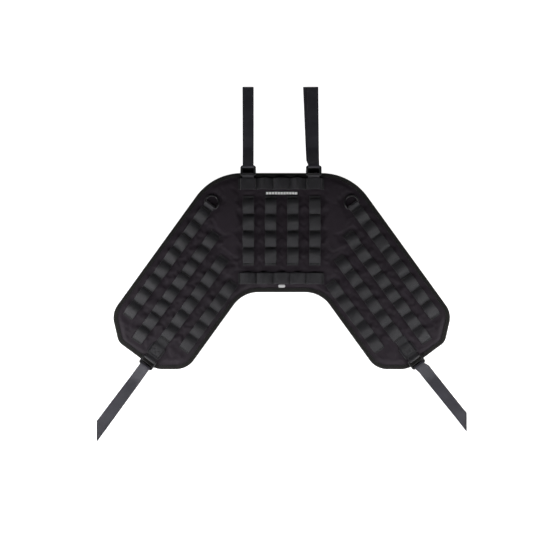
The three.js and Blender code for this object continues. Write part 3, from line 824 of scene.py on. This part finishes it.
def inside_grid(spacing, margin):
    """Points of an even triangular grid that are at least margin inside the bound edge."""
    (x0, y0), (x1, y1) = EDGE.min(axis=0), EDGE.max(axis=0)
    rows = np.arange(y0, y1, spacing * math.sqrt(0.75))
    points = []
    for k, y in enumerate(rows):
        x = np.arange(x0 + (k % 2) * spacing / 2, x1, spacing)
        points.append(np.stack([x, np.full(len(x), y)], axis=1))
    points = np.concatenate(points)
    return points[from_edge(points) > margin]


def panel_triangles(spacing, inset):
    """A triangle mesh of the panel's outline moved inwards: points, triangles and the ring of its rim."""
    rim = EDGE - EDGE_OUTWARD * inset
    rim = rim[::max(1, round(spacing / EDGE_STEP))]
    points = np.concatenate([rim, inside_grid(spacing, inset + spacing * 0.6)])
    ring = list(range(len(rim)))
    made = geometry.delaunay_2d_cdt([Vector(p) for p in points], [], [ring], 1, 1e-7)
    return np.array([tuple(p) for p in made[0]]), [tuple(f) for f in made[2]], ring


def sheet_object(name, points, faces, ring, tops, bottoms, material):
    """A closed sheet between two heights, each a number or one for every point, over a triangle mesh."""
    count = len(points)
    top = np.column_stack([points, np.broadcast_to(tops, count)])
    bottom = np.column_stack([points, np.broadcast_to(bottoms, count)])
    solid = list(faces) + [tuple(count + k for k in reversed(f)) for f in faces]
    for a, b in zip(ring, ring[1:] + ring[:1]):
        solid.append((a, b, count + b, count + a))
    return new_object(name, np.concatenate([top, bottom]), solid, material)


def held_down(points):
    """For each point, 1 where stitching or hardware holds the face down, easing to 0 beside it."""
    lines = [Line("front_label", 0), Line("size_tag", 0)]
    for side, sign in SIDES:
        lines.append(Line(f"{side}_upper_ring_tab", 90))
        for node in ("d_ring_tab", "d_ring", "wear_plate", "lower_ring_tab"):
            lines.append(Line(f"{side}_{node}", wing_heading(sign)))
    held = np.zeros(len(points))
    for line in lines:
        along, across = line.locate(points)
        past_end = np.abs(along - line.length / 2) - line.length / 2
        outside = np.maximum(past_end, np.abs(across) - line.half_width)
        held = np.maximum(held, 1 - smoothstep(outside, *HARDWARE_EASE))
    return held


def near_tacks(points):
    """For each point, 1 on a bar tack, easing to 0 a few millimetres away."""
    near = np.zeros(len(points))
    for line in ROWS.values():
        along, across = line.locate(points)
        beside = np.maximum(np.abs(across) - WEBBING_WIDTH / 2, 0)
        gap = np.abs(along[:, None] - tack_places(line)[None]).min(axis=1)
        near = np.maximum(near, 1 - smoothstep(np.hypot(gap, beside), *TACK_EASE))
    return near


def slack_fabric(points, faces, heights, sewn):
    """Lets the face fabric, cut a little long, crumple between its seams, and returns the new heights."""
    mesh = bpy.data.meshes.new("slack")
    mesh.from_pydata([(x, y, z) for (x, y), z in zip(points, heights)], [], faces)
    cloth_object = bpy.data.objects.new("slack", mesh)
    scene = bpy.context.scene
    scene.collection.objects.link(cloth_object)
    pins = cloth_object.vertex_groups.new(name="sewn")
    for index, weight in enumerate(sewn):
        if weight > 0.02:
            pins.add([index], float(min(1, weight)), "REPLACE")
    cloth = cloth_object.modifiers.new("cloth", "CLOTH")
    cloth.settings.vertex_group_mass = pins.name
    for setting, value in FACE_CLOTH.items():
        setattr(cloth.settings, setting, value)
    cloth.settings.effector_weights.gravity = 0.25
    scene.gravity = (0, 0, 9.81)  # stands for the foam pushing the fabric up
    cloth.point_cache.frame_start = 1
    cloth.point_cache.frame_end = SETTLING_FRAMES
    for step in range(1, SETTLING_FRAMES + 1):
        scene.frame_set(step)
    result = cloth_object.evaluated_get(bpy.context.evaluated_depsgraph_get()).to_mesh()
    moved = [v.co.z for v in result.vertices]
    scene.frame_set(1)
    bpy.data.objects.remove(cloth_object)
    bpy.data.meshes.remove(mesh)
    scene.gravity = (0, 0, -9.81)
    return np.array(moved)


def build_face():
    points, faces, ring = panel_triangles(FACE_GRID, RIM_INSET)
    inside = from_edge(points)
    flat = padding_height(inside)
    under_binding = 1 - smoothstep(inside, *BINDING_EASE)
    held = held_down(points)
    tacks = near_tacks(points)
    change = slack_fabric(points, faces, flat, np.maximum.reduce([under_binding, held, tacks])) - flat
    free = (1 - under_binding) * (1 - held) * (1 - tacks)
    tops = flat + np.clip(change, -FACE_FALL, FACE_RISE) * free - TACK_DIMPLE * tacks * (1 - held)
    face = sheet_object("face_cloth", points, faces, ring, tops, tops - FACE_THICKNESS, "face")
    stand_for(face, "face_fabric")


def build_foam_and_lining():
    points, faces, ring = panel_triangles(FOAM_GRID, FOAM_INSET)
    inside = from_edge(points)
    top = padding_height(inside) - FACE_THICKNESS - FACE_FALL - TACK_DIMPLE - FOAM_GAP
    foam = sheet_object("foam_pad", points, faces, ring, top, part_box("foam_core")[0].z, "foam")
    stand_for(foam, "foam_core")
    low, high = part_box("back_lining")
    belly = smoothstep(inside, 0.008, 0.02) * LINING_BELLY
    bottom = low.z + (near_tacks(points) * QUILT_DENT - belly)
    lining = sheet_object("lining_mesh", points, faces, ring, high.z, bottom, "lining")
    stand_for(lining, "back_lining")


build_face()
build_foam_and_lining()


# ---- edge binding


def build_binding():
    """The tape folds round the edge, puckers a little, and is sewn through both flanges."""
    low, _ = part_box("edge_binding")
    seam = [SEAM_INSET - SEAM_PULL, SEAM_INSET, SEAM_INSET + SEAM_PULL]
    flange = np.array([FLANGE_START, 0.0055, *seam, 0.0085, BINDING_WIDTH])
    fold = np.linspace(-math.pi / 2, math.pi / 2, 11)[1:-1]
    insets = np.concatenate([flange[::-1], FOLD_REACH * (1 - np.cos(fold) ** 0.8) + BINDING_HALF, flange])
    under = np.full(len(flange), low.z + BINDING_HALF)
    over = padding_height(flange) + TAPE_GAP + BINDING_HALF
    middle, half = (over[0] + under[0]) / 2, (over[0] - under[0]) / 2
    levels = np.concatenate([under, middle + half * np.sin(fold), over])
    rng = random.Random("binding")
    waves = [(rng.uniform(0.011, 0.06), rng.uniform(0, 6.28)) for _ in range(7)]
    places = np.arange(len(EDGE)) * EDGE_STEP
    wobble = sum(np.sin(2 * math.pi * places / length + phase) for length, phase in waves) / len(waves)
    grid = np.empty((len(EDGE), len(insets), 3))
    for j, (inset, level) in enumerate(zip(insets, levels)):
        if inset == SEAM_INSET:
            level += SEAM_SINK if j < len(flange) else -SEAM_SINK
        elif j >= len(flange) + len(fold):
            level = level + PUCKER_HEIGHT * np.abs(wobble)
        drift = PUCKER_DRIFT * wobble if inset > 0.008 else np.zeros(len(EDGE))
        grid[:, j, :2] = EDGE - EDGE_OUTWARD * (inset + drift)[:, None]
        grid[:, j, 2] = level
    tape = cloth_strip("binding_tape", grid[::-1], BINDING_HALF, "binding", closed=True)
    stand_for(tape, "edge_binding")
    sewing = Stitches()
    seam_path = EDGE - EDGE_OUTWARD * SEAM_INSET
    seam_path = np.concatenate([seam_path, seam_path[:1]])
    seam_top = padding_height(np.array([SEAM_INSET]))[0] + TAPE_GAP + BINDING_HALF * 2 - SEAM_SINK
    for level, stitch in ((seam_top, SEAM_STITCH), (low.z + SEAM_SINK, UNDER_STITCH)):
        sewing.run(np.column_stack([seam_path, np.full(len(seam_path), level)]), *stitch)
    sewing.sew_on("binding_stitches")


build_binding()


# ---- rings


def arc(cx, cy, radius, start, end, steps):
    angles = np.radians(np.linspace(start, end, steps))
    return np.stack([cx + radius * np.cos(angles), cy + radius * np.sin(angles)], axis=1)


def ring_path(near_corner, far_corner):
    """Centre line of a rectangular ring: across, and away from its near bar."""
    half = RING_LENGTH / 2
    return np.concatenate([
        arc(half - near_corner, near_corner, near_corner, -90, 0, 8),
        arc(half - far_corner, RING_HEIGHT - far_corner, far_corner, 0, 90, 10),
        arc(-half + far_corner, RING_HEIGHT - far_corner, far_corner, 90, 180, 10),
        arc(-half + near_corner, near_corner, near_corner, 180, 270, 8),
    ])


def build_strap_ring(name, heading):
    line = Line(name, heading)
    bar_s, bar_z = line.joint_at(f"{name}_flip")
    path = even_loop(ring_path(*RING_CORNERS), 0.0009)
    points = line.at(bar_s + path[:, 1], path[:, 0], bar_z)
    ring = round_bar(f"{name}_moulding", points, BAR_RADIUS, "moulding")
    stand_for(ring, name, name)


def build_d_ring(side, sign):
    name = f"{side}_d_ring"
    line = Line(name, wing_heading(sign))
    bar_s, bar_z = line.joint_at(f"{name}_flip")
    straight = D_HALF_WIDTH - D_CORNER
    path = np.concatenate([
        arc(straight, D_CORNER, D_CORNER, -90, 0, 6),
        arc(0, D_SIDE, D_HALF_WIDTH, 0, 180, 30),
        arc(-straight, D_CORNER, D_CORNER, 180, 270, 6),
    ])
    path = even_loop(path, 0.0012)
    drop = bar_z - D_WIRE_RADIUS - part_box(name)[0].z
    tip = math.asin(drop / (D_SIDE + D_HALF_WIDTH))
    points = line.at(bar_s - path[:, 1] * math.cos(tip), path[:, 0], bar_z - path[:, 1] * math.sin(tip))
    ring = round_bar(f"{name}_moulding", points, D_WIRE_RADIUS, "moulding")
    stand_for(ring, name, name)


for side_name, side_sign in SIDES:
    build_strap_ring(f"{side_name}_upper_ring", 90)
    build_strap_ring(f"{side_name}_lower_ring", wing_heading(side_sign))
    build_d_ring(side_name, side_sign)


# ---- tabs, plates and guards


def build_tab(node, line, profile, step=0.0012, across=15, dent=None):
    """Webbing that follows a side view of (s, z) points along a line; dent(s, across, z) lowers it."""
    path = smooth_path(profile, step)
    places, thickness = selvedge(across)
    s = path[:, 0][:, None]
    aside = places[None, :] * STRAP_WIDTH / 2
    z = path[:, 1][:, None] * np.ones_like(aside)
    if dent is not None:
        z = z - dent(s, aside, z)
    half = thickness * WEBBING_HALF
    tab = cloth_strip(f"{node}_webbing", line.at(s, aside, z), half, "webbing")
    stand_for(tab, node)


def build_d_ring_tab(side, sign):
    node = f"{side}_d_ring_tab"
    line = Line(node, wing_heading(sign))
    bar_s, bar_z = line.joint_at(f"{side}_d_ring_flip")
    upper = SEWN_LEVEL + TACK_DIMPLE + TAB_RISE
    build_tab(node, line, [
        (line.length, bar_z - D_WRAP_RADIUS),
        (bar_s + 0.003, bar_z - D_WRAP_RADIUS),
        *((2 * bar_s - s, z) for s, z in wrap(bar_s, bar_z, D_WRAP_RADIUS)),
        (bar_s + 0.002, bar_z + D_WRAP_RADIUS - 0.0006),
        (bar_s + 0.005, upper + 0.0012),
        (bar_s + 0.007, upper + 0.0001),
        (line.length, upper),
    ])


def build_upper_tab(side):
    node = f"{side}_upper_ring_tab"
    line = Line(node, 90)
    bar_s, bar_z = line.joint_at(f"{side}_upper_ring_flip")
    row_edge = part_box("top_row_webbing")[1].y - line.start
    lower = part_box(node)[0].z + WEBBING_HALF
    upper = lower + TAB_RISE
    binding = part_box("edge_binding")[1].y - BINDING_WIDTH - line.start
    build_tab(node, line, [
        (0, lower),
        (row_edge + 0.0002, lower),
        (binding - 0.0004, bar_z - WRAP_RADIUS),
        (bar_s - 0.001, bar_z - WRAP_RADIUS),
        *wrap(bar_s, bar_z, WRAP_RADIUS),
        (bar_s - 0.0012, bar_z + WRAP_RADIUS - 0.0002),
        (bar_s - 0.0032, bar_z + 0.0012),
        (bar_s - 0.0052, upper + 0.0014),
        (row_edge + 0.0012, upper + 0.0005),
        (row_edge - 0.0006, upper),
        (0, upper),
    ])


def build_lower_tab(side, sign):
    node = f"{side}_lower_ring_tab"
    line = Line(node, wing_heading(sign))
    plate = Line(f"{side}_wear_plate", wing_heading(sign))
    bar_s, bar_z = line.joint_at(f"{side}_lower_ring_flip")
    plate_start = plate.start - line.start
    layer_1 = FACE_TOP + LAYER_GAP + PLATE_THICKNESS + LAYER_GAP + WEBBING_HALF
    layer_2 = layer_1 + 2 * WEBBING_HALF + 0.00035
    profile = [
        (plate_start + 0.0065, layer_1),
        (plate_start + plate.length + 0.001, layer_1),
        (bar_s - 0.001, bar_z - WRAP_RADIUS),
        *wrap(bar_s, bar_z, WRAP_RADIUS),
        (bar_s - 0.0012, bar_z + WRAP_RADIUS - 0.0002),
        (bar_s - 0.0043, bar_z + 0.0013),
        (bar_s - 0.0073, layer_2 + 0.0004),
        (bar_s - 0.0100, layer_2),
        (plate_start + 0.0045, layer_2),
        (plate_start - 0.004, SEWN_LEVEL + TACK_DIMPLE),
        (0, SEWN_LEVEL + TACK_DIMPLE),
    ]
    box_start, box_end, box_half = plate_start + 0.007, bar_s - 0.0135, 0.0096

    def sewn_in(s, aside, z):
        """The thread pulls the top layer down along a box and the cross in it."""
        along = (s - (box_start + box_end) / 2) / ((box_end - box_start) / 2)
        beside = aside / box_half
        edge = np.maximum(np.abs(along), np.abs(beside))
        cross = np.minimum(np.abs(along - beside), np.abs(along + beside)) / math.sqrt(2)
        gap = np.minimum(np.abs(edge - 1), np.where(edge < 1, cross, np.inf)) * box_half
        return BOX_DENT * np.exp(-(gap / 0.0013) ** 2) * (z > layer_2 - 0.0002)

    build_tab(node, line, profile, 0.0008, 33, sewn_in)
    sewing = Stitches()
    sewing.box_cross(line, box_start, box_end, box_half, layer_2 + WEBBING_HALF + THREAD_LIFT - BOX_DENT)
    sewing.sew_on(f"{node}_stitches")


for side_name, side_sign in SIDES:
    build_d_ring_tab(side_name, side_sign)
    build_upper_tab(side_name)
    build_lower_tab(side_name, side_sign)
    soften(f"{side_name}_wear_plate", "moulding", PLATE_ROUNDING, "plate")
    for level_name in ("upper", "lower"):
        # The guards' flaps carry painted shade under the ring slots.
        soften(f"{side_name}_{level_name}_ring_guard", "flap", GUARD_ROUNDING, "guard")


# ---- straps


def strap_levels(t, bar_z):
    """Heights of the front and the rear layer t past the bar."""
    close = WEBBING_HALF + LAYER_GAP / 2
    middle = bar_z + (WEBBING_HALF + close - bar_z) * smoothstep(t, 0, STRAP_DROP)
    apart = WRAP_RADIUS + (close - WRAP_RADIUS) * smoothstep(t, 0, STRAP_CLOSE)
    wave = 1 - np.cos(2 * math.pi * (t - STRAP_DROP) / RIPPLE_LENGTH)
    ripple = RIPPLE_HEIGHT * wave * smoothstep(t, STRAP_DROP, 0.07)
    return middle + apart + ripple, middle - apart + ripple


class StrapLine:
    """The line that a strap hangs along, with t measured from the ring's far bar to its cut-off end."""

    def __init__(self, name, sign, heading, cut_axis):
        position = JOINTS[f"{name}_swing"]["pos_m"]
        self.origin = np.array([position[0], position[1], 0.0])
        self.bar_z = position[2]
        self.forward, self.leftward = directions(heading)
        self.outward = math.copysign(1, sign * self.leftward[0])  # 1 where the line's left is outwards
        self.cut_axis = cut_axis
        self.cut_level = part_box(name)[1 if self.forward[cut_axis] > 0 else 0][cut_axis]

    def cut_end(self, shift):
        """How long the strap is where the picture cuts it, and half of its cut edge."""
        axis = self.cut_axis
        tip = (self.cut_level - self.origin[axis] - self.leftward[axis] * shift) / self.forward[axis]
        edge = np.zeros(3)
        edge[1 - axis] = STRAP_WIDTH / 2 / self.leftward[1 - axis]
        return tip, edge

    def layer(self, places, number, first_shift, last_shift):
        """Middle points of one layer of the strap, of which the front is number 0 and the rear number 1."""
        tip, edge = self.cut_end(last_shift)
        t = np.concatenate([np.linspace(0.0015, STRAP_DROP, 22), np.linspace(STRAP_DROP, tip, 56)[1:]])
        straight = np.outer(places * STRAP_WIDTH / 2, self.leftward)
        cut = smoothstep(t, tip - STRAP_CUT, tip)[:, None, None]
        across = straight + (np.outer(places, edge) - straight) * cut
        shift = first_shift * smoothstep(t, 0, STRAP_CLOSE) + (last_shift - first_shift) * t / tip
        along = t[:, None] * self.forward + shift[:, None] * self.leftward
        points = self.origin + along[:, None] + across
        points[..., 2] = strap_levels(t, self.bar_z)[number][:, None]
        return points

    def turn(self, places):
        """The webbing's way round the far bar, from the front layer to the rear one."""
        rows = []
        for s, z in reversed(wrap(0, self.bar_z, WRAP_RADIUS, 12)):
            row = self.origin - s * self.forward + np.outer(places * STRAP_WIDTH / 2, self.leftward)
            row[:, 2] = z
            rows.append(row)
        return rows


def build_strap(name, sign, heading, cut_axis):
    """One length of webbing, doubled round the ring's far bar and sewn together near its end."""
    line = StrapLine(name, sign, heading, cut_axis)
    front_shifts, rear_shifts = line.outward * np.array(STRAP_SHIFTS[name])
    places, thickness = selvedge(15)
    front = line.layer(places, 0, *front_shifts)
    rear = line.layer(places, 1, *rear_shifts)
    middle = np.concatenate([front[::-1], line.turn(places), rear])
    strap = cloth_strip(f"{name}_webbing", middle[:, ::-1], thickness * WEBBING_HALF, "strap")
    stand_for(strap, name, name)
    tip, edge = line.cut_end(front_shifts[1])
    sewing = Stitches()
    for back in STRAP_SEAMS:
        t = tip - back
        centre = line.origin + t * line.forward + front_shifts[1] * line.leftward
        path = centre + np.outer(np.linspace(-0.86, 0.86, 9), edge)
        path[:, 2] = strap_levels(t, line.bar_z)[0] + WEBBING_HALF + THREAD_LIFT
        sewing.run(path, *STRAP_STITCH)
    sewing.sew_on(f"{name}_stitches", name)


for side_name, side_sign in SIDES:
    build_strap(f"{side_name}_upper_strap", side_sign, 90, 1)
    build_strap(f"{side_name}_lower_strap", side_sign, wing_heading(side_sign), 0)


# ---- labels

for label_node, label_material_name in (("front_label", "label"), ("size_tag", "tag")):
    soften(label_node, "woven", LABEL_ROUNDING, label_material_name)


# ---- floor, light and camera


def build_floor():
    bpy.ops.mesh.primitive_plane_add(size=FLOOR_SIZE, location=(0, 0, -0.0002))
    floor = bpy.context.object
    floor.name = "floor"
    g = Graph("floor", (0.86, 0.86, 0.86), 0.9, specular=0.1)
    g.set(g.shader, {"Emission Color": (1, 1, 1, 1), "Emission Strength": 1.0})
    floor.data.materials.append(g.material)


def area_light(name, location, aim, size, power):
    light = bpy.data.lights.new(name, "AREA")
    light.shape = "RECTANGLE"
    light.size, light.size_y = size
    light.energy = power
    lamp = bpy.data.objects.new(name, light)
    lamp.location = location
    lamp.visible_camera = False
    lamp.rotation_euler = (Vector(aim) - Vector(location)).to_track_quat("-Z", "Y").to_euler()
    bpy.context.scene.collection.objects.link(lamp)


def build_lights():
    area_light("front_box", (0.0, -0.90, 1.0), (0.0, -0.1, 0.0), (1.2, 0.4), 5.6)
    area_light("left_box", (-0.90, -0.52, 0.36), (-0.3, -0.24, 0.0), (0.4, 0.5), 6.8)
    area_light("right_box", (0.90, -0.52, 0.36), (0.3, -0.24, 0.0), (0.4, 0.5), 5.0)
    area_light("back_box", (0.0, 1.35, 0.70), (0.0, 0.1, 0.0), (1.4, 0.5), 0.5)


def build_world():
    """Pale at the horizon and dim overhead, as in a studio with a dark ceiling."""
    world = bpy.data.worlds.new("studio")
    world.use_nodes = True
    bpy.context.scene.world = world
    tree = world.node_tree
    background = tree.nodes["Background"]
    place = tree.nodes.new("ShaderNodeTexCoord")
    parts = tree.nodes.new("ShaderNodeSeparateXYZ")
    fade = tree.nodes.new("ShaderNodeMapRange")
    tree.links.new(place.outputs["Generated"], parts.inputs["Vector"])
    tree.links.new(parts.outputs["Z"], fade.inputs["Value"])
    for key, value in {"From Min": 0.0, "From Max": 0.35, "To Min": 0.14, "To Max": 0.008}.items():
        fade.inputs[key].default_value = value
    tree.links.new(fade.outputs["Result"], background.inputs["Strength"])
    background.inputs["Color"].default_value = (1, 1, 1, 1)


def build_camera():
    camera = bpy.data.cameras.new("camera")
    camera.sensor_width = SENSOR_WIDTH
    camera.lens = SENSOR_WIDTH * CAMERA_HEIGHT / FRAME_WIDTH
    camera.clip_end = 2 * FLOOR_SIZE
    holder = bpy.data.objects.new("camera", camera)
    holder.location = (*FRAME_CENTRE, CAMERA_HEIGHT)
    bpy.context.scene.collection.objects.link(holder)
    bpy.context.scene.camera = holder


build_floor()
build_lights()
build_world()
build_camera()
bpy.context.scene.view_settings.view_transform = "Standard"
